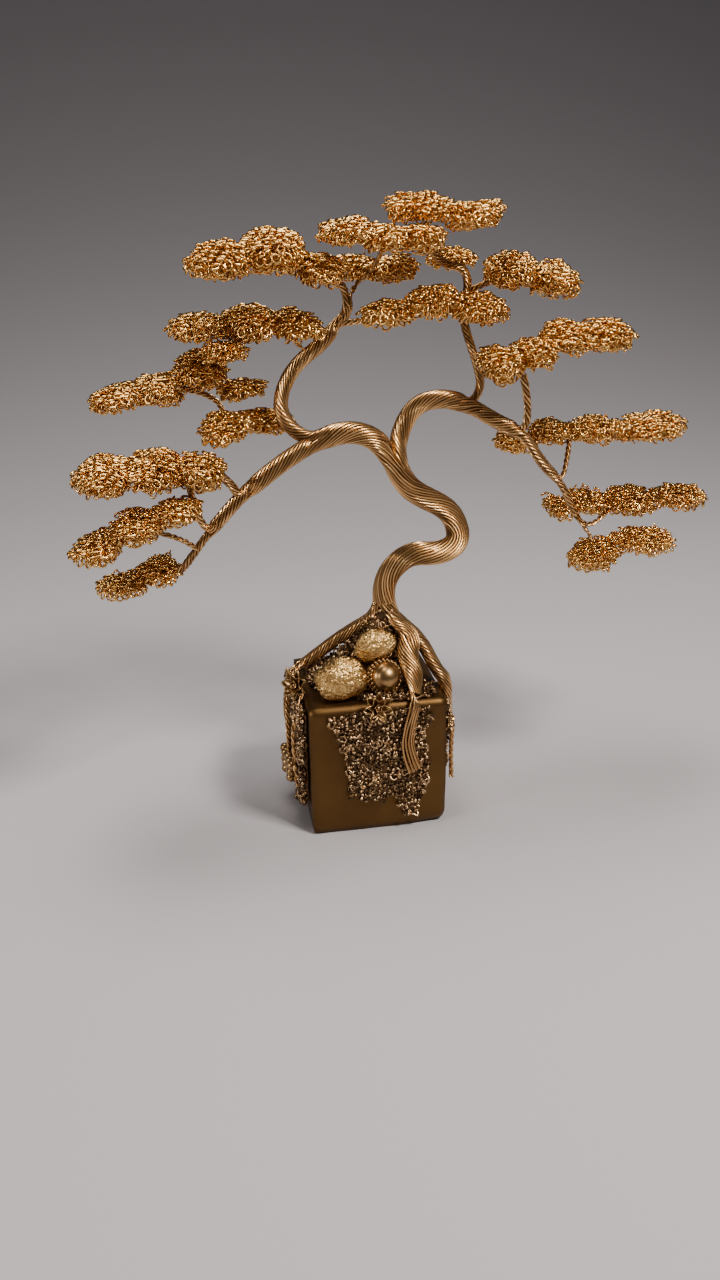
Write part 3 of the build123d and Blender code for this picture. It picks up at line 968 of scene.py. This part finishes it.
# --- base -----------------------------------------------------------------------------------
@dataclass
class Base:
    """The painted block, the heap that carries the trunk, and all that is glued to them.

    Places are in millimetres from the centre of the block's top face.

    Attributes:
        side: Side of the block.
        edge: Radius of its edges.
        heap_foot: Radius of the heap where it meets the block.
        heap_middle: Centre of the heap's foot.
        heap_height: Height of the heap.
        neck_radius: Radius of the heap at the trunk.
        apart: Least distance between granules.
        fringe: How raggedly a patch of granules ends.
        bead: Diameter of the small round granules.
        curl: Diameter of the small wire curls.
        ball: Radius of the large bead.
        ball_place: Centre of the large bead.
        rim: Radius of the row of small beads round the large one.
        rose: Radius of a rose.
        grape: Radius of a bead in the clusters on the left side.
        seed: Seed of the granules' places.
    """

    side: float = 60.0
    edge: float = 1.6
    heap_foot: float = 25.5
    heap_middle: tuple[float, float] = (-1.0, 1.0)
    heap_height: float = 33.0
    neck_radius: float = 4.0
    apart: float = 1.35
    fringe: float = 1.92
    bead: float = 1.5
    curl: float = 2.8
    ball: float = 6.6
    ball_place: tuple[float, float, float] = (4.5, -21.5, 8.8)
    rim: float = 7.8
    rose: float = 4.6
    grape: float = 2.3
    seed: int = 5

    def __post_init__(self) -> None:
        """Starts the base's own random numbers."""
        self.dice = random.Random(self.seed)

    def at(self, x: float, y: float, z: float) -> Vector:
        """A place in metres from one in millimetres on the block's top face."""
        return Vector((x, y, z + self.side)) * MM

    # small shapes, each modelled once about the origin
    def bead_shape(self, radius: float) -> bpy.types.Object:
        """A small round bead, a little flat at its poles."""
        bead = primitive("uv_sphere", segments=8, ring_count=5, radius=radius * MM)
        with edit_mode(bead):
            bpy.ops.transform.resize(value=(1.0, 1.0, 0.88))
        return bead

    def curl_shape(self) -> bpy.types.Object:
        """A small curl of wire: a ring opened and drawn up at one end."""
        curl = primitive("torus", major_segments=9, minor_segments=4,
                         major_radius=self.curl / 2 * MM, minor_radius=0.42 * MM)
        for vertex in curl.data.vertices:
            angle = math.atan2(vertex.co.y, vertex.co.x)
            vertex.co.z += angle * 0.28 * MM
            vertex.co.x += max(angle, 0) * 0.35 * MM
        return curl

    def crumb_shape(self) -> bpy.types.Object:
        """A broken crumb: a block with its corners cut, pressed flatter."""
        crumb = primitive("cube", size=self.bead * MM)
        with edit_mode(crumb):
            bpy.ops.mesh.bevel(offset=0.28 * MM, offset_pct=0, segments=1, affect="EDGES")
            bpy.ops.transform.resize(value=(1.0, 0.72, 0.6))
        return crumb

    # scattering
    def inside(self, x: float, y: float, outline: list[tuple[float, float]]) -> bool:
        """Whether a point lies within an outline."""
        within = False
        for (ax, ay), (bx, by) in zip(outline, outline[1:] + outline[:1]):
            if (ay > y) != (by > y) and x < (bx - ax) * (y - ay) / (by - ay) + ax:
                within = not within
        return within

    def spots_on_face(self, outline: list[tuple[float, float]], origin: Vector, across: Vector,
                      upward: Vector) -> list[tuple]:
        """Scattered spots within an outline on a face of the block.

        Args:
            outline: Corners of the outline in millimetres, in the face's own two directions.
            origin: The face's zero in metres.
            across: The outline's first direction.
            upward: The outline's second direction.

        Returns:
            (spot, outward direction) pairs.
        """
        outward = across.cross(upward)
        low_x, high_x = min(p[0] for p in outline), max(p[0] for p in outline)
        low_y, high_y = min(p[1] for p in outline), max(p[1] for p in outline)
        area = (high_x - low_x) * (high_y - low_y)
        found: list[tuple[float, float]] = []
        for _ in range(int(area / self.apart ** 2 * 6)):
            x, y = self.dice.uniform(low_x, high_x), self.dice.uniform(low_y, high_y)
            drift = noise.noise_vector(Vector((x * 0.35, y * 0.35, 1.7))) * self.fringe
            if not self.inside(x + drift.x, y + drift.y, outline):
                continue
            if all((x - u) ** 2 + (y - v) ** 2 > self.apart ** 2 for u, v in found[-400:]):
                found.append((x, y))
        return [(origin + (across * x + upward * y) * MM, outward) for x, y in found]

    def strew(self, spots: list[tuple], name: str, slot_finish: "Finish", nodes: list[str],
              heights: tuple[float, float], skins: tuple) -> None:
        """Glues beads, crumbs and curls on a lot of spots, as one piece.

        Args:
            spots: (spot, outward direction) pairs.
            name: The piece's name.
            slot_finish: The finish handed on to finish_piece, which dresses the piece in it only if
                it has no material yet.
            nodes: The CAD nodes it stands for.
            heights: Least and greatest height over the spot, in millimetres.
            skins: Finished shapes to be joined in, such as the bed the granules stick to.
        """
        groups: dict[tuple, list[Matrix]] = {}
        for spot, outward in spots:
            turn = any_turn(self.dice)
            size = self.dice.uniform(0.6, 1.4)
            height = self.dice.uniform(*heights) * MM
            kind = self.dice.choices(("bead", "crumb", "curl"), (0.5, 0.28, 0.22))[0]
            if kind == "curl":
                lean = outward + Vector([self.dice.gauss(0, 0.45) for _ in range(3)])
                turn = turned_to(lean.normalized(), self.dice.uniform(0, FULL_TURN))
            finish = self.dice.choices((MOSS_GOLD, MOSS_DARK), (0.5, 0.5))[0]
            place = Matrix.Translation(spot + outward * height) @ turn @ Matrix.Scale(size, 4)
            groups.setdefault((kind, finish), []).append(place)
        shapes = {"bead": lambda: self.bead_shape(self.bead / 2), "crumb": self.crumb_shape,
                  "curl": self.curl_shape}
        parts = list(skins)
        for (kind, finish), places in sorted(groups.items(), key=lambda g: (g[0][0], g[0][1].name)):
            part = copies(shapes[kind](), places, kind)
            part.data.materials.append(finish.material())
            parts.append(part)
        finish_piece(join(parts), name, slot_finish, nodes)

    def bed(self, outline: list[tuple[float, float]], origin: Vector, across: Vector,
            upward: Vector, thick: float) -> bpy.types.Object:
        """A lumpy bed of glue within an outline, for granules to stick to.

        Args:
            outline: Corners of the outline in millimetres.
            origin: The face's zero in metres.
            across: The outline's first direction.
            upward: The outline's second direction.
            thick: How thick the bed is, in millimetres.

        Returns:
            The bed, with its finish.
        """
        outward = across.cross(upward)
        corners = [origin + (across * x + upward * y) * MM for x, y in outline]
        mesh = bpy.data.meshes.new("bed")
        mesh.from_pydata(corners, [], [tuple(range(len(corners)))])
        bed = bpy.data.objects.new("bed", mesh)
        bpy.context.scene.collection.objects.link(bed)
        with edit_mode(bed):
            bpy.ops.mesh.extrude_region_move(
                TRANSFORM_OT_translate={"value": tuple(outward * thick * MM)})
            bpy.ops.transform.resize(value=(0.93, 0.93, 0.93))
        remesh = bed.modifiers.new("even", "REMESH")
        remesh.mode = "VOXEL"
        remesh.voxel_size = 0.9 * MM
        apply_modifiers(bed)
        for vertex in bed.data.vertices:
            vertex.co += noise.noise_vector(vertex.co * 420) * 0.7 * MM
        bed.data.materials.append(MOSS_DARK.material())
        return bed

    # pieces
    def block(self) -> None:
        """The painted block, with soft edges and faces that are not quite flat."""
        block = primitive("cube", size=self.side * MM, location=(0, 0, self.side / 2 * MM))
        settle(block)
        with edit_mode(block):
            bpy.ops.mesh.subdivide(number_cuts=15)
        half, edge = self.side / 2, self.edge
        for vertex in block.data.vertices:
            place = Vector((vertex.co.x / MM, vertex.co.y / MM, vertex.co.z / MM - half))
            corner = (place - Vector((half, -half, -half))).length
            soft = edge + 2.6 * smoothstep(1 - corner / 22)
            core = Vector([max(-half + soft, min(half - soft, value)) for value in place])
            gap = place - core
            if gap.length > 1e-6:
                place = core + gap.normalized() * min(soft, gap.length)
            dent = noise.noise(place * 0.07) * 0.22 - 0.22
            place -= (place - core).normalized() * abs(dent) if gap.length > 1e-6 else Vector()
            vertex.co = (place.x * MM, place.y * MM, (place.z + half) * MM)
        finish_piece(block, "painted_block", BLOCK_PAINT, ["clay_block"])

    def lumps(self, name: str, middle: Vector, size: tuple[float, float, float], tilt: float,
              node: str, seed: float) -> None:
        """A crumpled nugget wrapped in gold leaf.

        Args:
            name: The piece's name.
            middle: Its centre in metres.
            size: Its half sizes in millimetres.
            tilt: Its tilt to the side in degrees.
            node: The CAD node it stands for.
            seed: Where its crumples are taken from.
        """
        nugget = primitive("ico_sphere", subdivisions=6, radius=1.0)
        for vertex in nugget.data.vertices:
            way = vertex.co.normalized()
            broad = noise.noise(way * 1.3 + Vector((seed, 0, 0)))
            fold = 1 - abs(noise.noise(way * 3.5 + Vector((0, seed, 0)))) * 2
            crease = 1 - abs(noise.noise(way * 9 + Vector((0, 0, seed)))) * 2
            fine = noise.noise(way * 22 + Vector((seed, seed, 0)))
            reach = 0.86 + 0.12 * broad + 0.055 * fold + 0.055 * crease + 0.025 * fine
            vertex.co = Vector((way.x * size[0], way.y * size[1], way.z * size[2])) * reach * MM
        nugget.matrix_world = (Matrix.Translation(middle)
                               @ Matrix.Rotation(math.radians(-tilt), 4, "Y"))
        finish_piece(nugget, name, LEAF_GILT, [node])

    def heap(self) -> None:
        """The heap that carries the trunk, with granules over it."""
        heap = primitive("cone", vertices=48, radius1=self.heap_foot * MM,
                         radius2=self.neck_radius * MM, depth=self.heap_height * MM)
        with edit_mode(heap):
            bpy.ops.mesh.subdivide(number_cuts=12)
        for vertex in heap.data.vertices:
            height = vertex.co.z / MM + self.heap_height / 2
            share = height / self.heap_height
            slim = 1 - 0.27 * math.sin(math.pi * share)
            x = vertex.co.x * slim / MM + self.heap_middle[0] + (9 - self.heap_middle[0]) * share
            y = vertex.co.y * slim / MM + self.heap_middle[1] * (1 - share)
            place = Vector((x, y, height))
            if height > 0.5:
                place += noise.noise_vector(place * 0.35) * 0.9
            vertex.co = self.at(*place)
        heap.data.materials.append(MOSS_DARK.material())
        spots = []
        faces = [face for face in heap.data.polygons if face.center.z > self.at(0, 0, 0.8).z
                 and face.normal.z < 0.9]
        taken: list[Vector] = []
        for face in self.dice.choices(faces, [f.area for f in faces], k=5200):
            spot = spot_on(heap, face, self.dice)
            if all((spot - other).length > self.apart * MM for other in taken):
                taken.append(spot)
                spots.append((spot, face.normal.copy()))
        self.strew(spots, "heap_granules", MOSS_DARK, ["mound"], (-0.2, 1.1), (heap,))
        rim = [(-5, -28.8), (13, -28.8), (25, -27), (27, -14), (16, -12), (-3, -18)]
        bed = self.bed(rim, self.at(0, 0, 0), Vector((1, 0, 0)), Vector((0, 1, 0)), 1.2)
        spots = self.spots_on_face(rim, self.at(0, 0, 0.8), Vector((1, 0, 0)),
                                   Vector((0, 1, 0)))
        self.strew(spots, "top_granules", MOSS_GOLD, ["mound"], (0.0, 1.6), (bed,))

    def faces(self) -> None:
        """The granules stuck on the block's front, left and right faces."""
        half = self.side / 2
        front = [(-22, -5), (-12, -2), (22, -2), (20, -16), (21, -30), (19, -43), (15, -54),
                 (10, -53), (6, -43), (-4, -46), (-13, -41), (-15, -22)]
        left = [(27, -3), (-25, -3), (-26, -34), (-14, -50), (6, -54), (22, -48)]
        right = [(-24, -4), (-4, -3), (-2, -26), (-10, -40), (-22, -36)]
        for name, outline, origin, across, thick in (
                ("front", front, self.at(0, -half, 0), Vector((1, 0, 0)), 1.0),
                ("left", left, self.at(-half, 0, 0), Vector((0, -1, 0)), 2.2),
                ("right", right, self.at(half, 0, 0), Vector((0, 1, 0)), 1.0)):
            up = Vector((0, 0, 1))
            bed = self.bed(outline, origin, across, up, thick)
            spots = self.spots_on_face(outline, origin + across.cross(up) * (thick - 0.4) * MM,
                                       across, up)
            self.strew(spots, f"granules_{name}", MOSS_GOLD, [f"moss_{name}"], (0.0, 1.9),
                       (bed,))

    def ball_and_rim(self) -> None:
        """The large bead with its two turned grooves, in a row of small beads."""
        facing = Vector((0.15, -0.9, 0.4)).normalized()
        middle = self.at(*self.ball_place)
        ball = primitive("uv_sphere", segments=48, ring_count=32, radius=self.ball * MM)
        for vertex in ball.data.vertices:
            high = math.degrees(math.asin(max(-1, min(1, vertex.co.z / (self.ball * MM)))))
            groove = math.exp(-((high - 38) / 4) ** 2) + math.exp(-((high - 10) / 4) ** 2)
            vertex.co *= 1 - 0.045 * groove
        ball.matrix_world = Matrix.Translation(middle) @ turned_to(facing)
        finish_piece(ball, "turned_ball", BEAD_GOLD, ["ball_bead"])
        places = []
        turn = turned_to(facing)
        for row, (reach, back, count, size) in enumerate(((self.rim - 0.5, -0.6, 25, 0.82),
                                                          (self.rim - 1.1, 1.1, 23, 0.7))):
            for i in range(count):
                angle = 2 * math.pi * (i + 0.5 * row) / count
                offset = Vector((reach * math.cos(angle), reach * math.sin(angle), back)) * MM
                places.append(Matrix.Translation(middle) @ turn @ Matrix.Translation(offset)
                              @ Matrix.Scale(size, 4))
        beads = copies(self.bead_shape(1.0), places, "rim_beads")
        finish_piece(beads, "rim_beads", BEAD_GOLD, ["bead_rim"])

    def petal_shape(self) -> bpy.types.Object:
        """One cupped petal, its foot at the origin."""
        petal = primitive("grid", x_subdivisions=6, y_subdivisions=5, size=1.0)
        for vertex in petal.data.vertices:
            x, y = vertex.co.x * 2, vertex.co.y + 0.5
            wide = math.sin(math.pi * (0.16 + 0.74 * y)) * 0.62
            vertex.co = Vector((x * wide * 0.5, 0.42 * x * x * wide + 0.25 * y * y,
                                y * (1 - 0.12 * x * x)))
        thick = petal.modifiers.new("thick", "SOLIDIFY")
        thick.thickness = 0.09
        thick.offset = 0.0
        apply_modifiers(petal)
        recalculate(petal)
        return petal

    def roses(self) -> None:
        """A rose at the front, one on the left and an open flower on the right."""
        parts = []
        full = ((3, 0.35, 10), (5, 0.62, 34), (6, 0.9, 62), (7, 1.05, 78))
        for place, facing, radius, rows in (
                ((-1, -31.6, -0.5), (0.1, -1, 0.35), self.rose, full),
                ((-31.8, -6.5, 2), (-0.8, -0.75, 0.4), self.rose, full),
                ((31.4, -24, -14), (1, -0.7, 0.2), 3.6, ((5, 0.75, 66), (6, 1.0, 80)))):
            turn = turned_to(Vector(facing).normalized())
            places = []
            for row, (count, size, lean) in enumerate(rows):
                for i in range(count):
                    around = Matrix.Rotation(2 * math.pi * i / count + row * 0.7, 4, "Z")
                    tip = Matrix.Rotation(math.radians(lean), 4, "X")
                    places.append(Matrix.Translation(self.at(*place)) @ turn @ around
                                  @ Matrix.Translation((0, -0.12 * row * radius * MM, 0))
                                  @ tip @ Matrix.Scale(radius * size * MM * 1.15, 4))
            parts.append(copies(self.petal_shape(), places, "petals"))
            heart = self.bead_shape(radius * 0.26)
            heart.matrix_world = (Matrix.Translation(self.at(*place)) @ turn
                                  @ Matrix.Translation((0, 0, radius * 0.35 * MM)))
            settle(heart)
            parts.append(heart)
        finish_piece(join(parts), "rose_petals", BEAD_GOLD, ["roses"])

    def grapes(self) -> None:
        """The clusters of beads on the left side."""
        step = 2 * self.grape + 0.05
        places = []
        for corner_y, corner_z in ((-16, -32), (4, -38)):
            for row in range(3):
                for place in range(3 - row):
                    y = corner_y + (place + row / 2) * step
                    z = corner_z - row * step * math.sqrt(3) / 2
                    spot = self.at(-(self.side / 2 + 4.5 + self.grape), y, z)
                    places.append(Matrix.Translation(spot) @ any_turn(self.dice))
        bead = primitive("uv_sphere", segments=20, ring_count=12, radius=self.grape * MM)
        for vertex in bead.data.vertices:
            vertex.co *= 1 - 0.06 * math.exp(-(vertex.co.z / (0.25 * self.grape * MM)) ** 2)
        beads = copies(bead, places, "grape_beads")
        finish_piece(beads, "bead_bunches", BEAD_GOLD, ["bead_clusters"])

    def build(self) -> None:
        """Models the whole base."""
        self.block()
        self.heap()
        self.faces()
        self.lumps("leaf_nugget", self.at(-14, -19, 8.5), (12, 9, 10), 12, "gold_nugget", 3.1)
        self.lumps("leaf_nugget_small", self.at(2, -12, 19.5), (9.5, 6.5, 7.5), 15, "small_nugget",
                   8.4)
        self.ball_and_rim()
        self.roses()
        self.grapes()


# --- stage ----------------------------------------------------------------------------------
@dataclass
class Studio:
    """The floor, the lights and the camera.

    Attributes:
        place: Where the camera stands, in metres.
        pitch: How far it looks down, in degrees.
        yaw: How far it looks to the right, in degrees.
        roll: How far it is turned about its view, in degrees.
        lens: Its focal length in millimetres.
        lamps: Name, place in metres, width, watts and colour of each light.
        aim: Height that the lights face, in metres.
    """

    place: tuple[float, float, float] = (-0.07485, -0.44222, 0.2586)
    pitch: float = 21.96
    yaw: float = 9.3
    roll: float = -1.37
    lens: float = 30.94
    lamps: tuple[tuple, ...] = (
        ("key", (0.38, -0.42, 0.78), 0.2, 10.0, (1.0, 0.95, 0.88)),
        ("top", (-0.1, 0.1, 0.95), 0.4, 7.0, (1.0, 0.96, 0.92)),
        ("left", (-0.7, -0.25, 0.35), 0.2, 2.0, (1.0, 0.95, 0.9)))
    aim: float = 0.14

    def camera(self) -> None:
        """Sets the camera."""
        data = bpy.data.cameras.new("camera")
        data.lens = self.lens
        data.sensor_width = 36.0
        data.clip_start = 0.01
        camera = bpy.data.objects.new("camera", data)
        turn = (Matrix.Rotation(math.radians(-self.yaw), 4, "Z")
                @ Matrix.Rotation(math.radians(90 - self.pitch), 4, "X")
                @ Matrix.Rotation(math.radians(self.roll), 4, "Z"))
        camera.matrix_world = Matrix.Translation(self.place) @ turn
        bpy.context.scene.collection.objects.link(camera)
        bpy.context.scene.camera = camera

    def light(self, name: str, place: tuple[float, float, float], size: float, power: float,
              colour: tuple[float, float, float]) -> None:
        """Adds a soft light that faces the tree.

        Args:
            name: The light's name.
            place: Where it stands, in metres.
            size: Its width.
            power: Its power in watts.
            colour: Its colour.
        """
        data = bpy.data.lights.new(name, "AREA")
        data.size = size
        data.energy = power
        data.color = colour
        lamp = bpy.data.objects.new(name, data)
        lamp.matrix_world = (Matrix.Translation(place)
                             @ turned_to(Vector(place) - Vector((0, 0, self.aim))))
        bpy.context.scene.collection.objects.link(lamp)

    def backdrop(self) -> None:
        """Lays the pale floor, which rises behind the tree in one soft curve."""
        floor = primitive("plane", size=6.0, location=(0, 0, 0))
        floor.name = "floor"
        self.select_edge(floor, lambda point: point.y > 2.9)
        bpy.ops.mesh.extrude_region_move(TRANSFORM_OT_translate={"value": (0, 0, 4.0)})
        self.select_edge(floor, lambda point: point.y > 2.9 and point.z < 0.1)
        bpy.ops.mesh.bevel(offset=2.2, offset_pct=0, segments=24, affect="EDGES")
        bpy.ops.object.mode_set(mode="OBJECT")
        bpy.ops.object.shade_smooth()
        floor.data.transform(Matrix.Translation((0, -0.4, 0)))
        paper = bpy.data.materials.new("pale_floor")
        paper.use_nodes = True
        shader = paper.node_tree.nodes["Principled BSDF"]
        shader.inputs["Base Color"].default_value = (0.42, 0.40, 0.415, 1.0)
        shader.inputs["Roughness"].default_value = 0.9
        floor.data.materials.append(paper)

    def select_edge(self, floor: bpy.types.Object, test: Callable[[Vector], bool]) -> None:
        """Selects the edges whose both ends pass a test, and enters edit mode."""
        activate(floor)
        bpy.ops.object.mode_set(mode="EDIT")
        bpy.ops.mesh.select_mode(type="VERT")
        bpy.ops.mesh.select_all(action="DESELECT")
        bpy.ops.object.mode_set(mode="OBJECT")
        for vertex in floor.data.vertices:
            vertex.select = test(vertex.co)
        bpy.ops.object.mode_set(mode="EDIT")
        bpy.ops.mesh.select_mode(type="EDGE")

    def build(self) -> None:
        """Sets the floor, the world, the lights and the camera."""
        self.backdrop()
        world = bpy.data.worlds.new("world")
        bpy.context.scene.world = world
        world.use_nodes = True
        world.node_tree.nodes["Background"].inputs["Color"].default_value = (0.50, 0.47, 0.50, 1)
        world.node_tree.nodes["Background"].inputs["Strength"].default_value = 0.16
        for lamp in self.lamps:
            self.light(*lamp)
        self.camera()


def main() -> None:
    """Builds the tree, its base and the stage, and reports each piece."""
    logging.basicConfig(level=logging.INFO, format="%(name)s %(message)s")
    WireTree().build()
    Foliage().build()
    Base().build()
    Studio().build()


if __name__ == "__main__":
    main()
